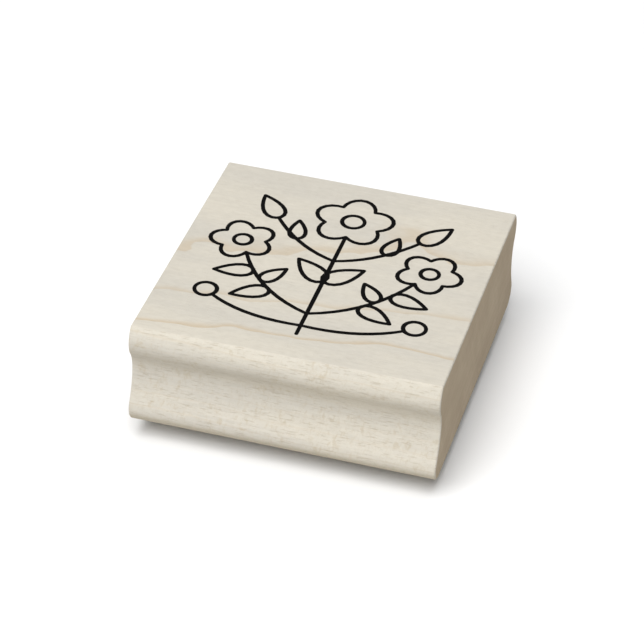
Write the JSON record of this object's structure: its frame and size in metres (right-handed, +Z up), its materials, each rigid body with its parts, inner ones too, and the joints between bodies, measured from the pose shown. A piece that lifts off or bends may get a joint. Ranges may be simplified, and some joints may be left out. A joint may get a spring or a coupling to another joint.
{
  "type": "rubber stamp",
  "caption": "Square wood-mounted art stamp: grooved hardwood block with a floral line index on top and a cushioned rubber die of the same drawing underneath.",
  "frame": {"origin": "centred under the block, on the printing face of the die, which is the surface the stamp stands on", "axes": "+Z up out of the block's printed top; +X to the right along the moulding's length; +Y to the back, so the front grooved side faces -Y"},
  "size_m": [0.075, 0.0798, 0.032],
  "materials": {
    "maple": "bare sanded hard maple, fine fibre streaks and ray flecks, no lacquer",
    "index_ink": "matte black ink soaked slightly into the wood",
    "adhesive_film": "thin cream double-sided adhesive film",
    "cushion_foam": "off-white closed-cell foam with knife-cut cells at the edge",
    "die_rubber": "matte brick-red vulcanised rubber"
  },
  "bodies": {
    "mounted_block": {"wood_block": "maple", "index_print": "index_ink", "block_tape": "adhesive_film", "foam_cushion": "cushion_foam"},
    "printing_die": {"die_tape": "adhesive_film", "rubber_die": "die_rubber"}
  },
  "joints": [
    {"name": "cushion_press", "type": "slide", "parent": "mounted_block", "child": "printing_die", "axis": [0, 0, 1], "range_m": [0, 0.0007], "stiffness_N_per_m": 30000, "springref_m": -0.0001, "deforming": ["foam_cushion"]}
  ]
}
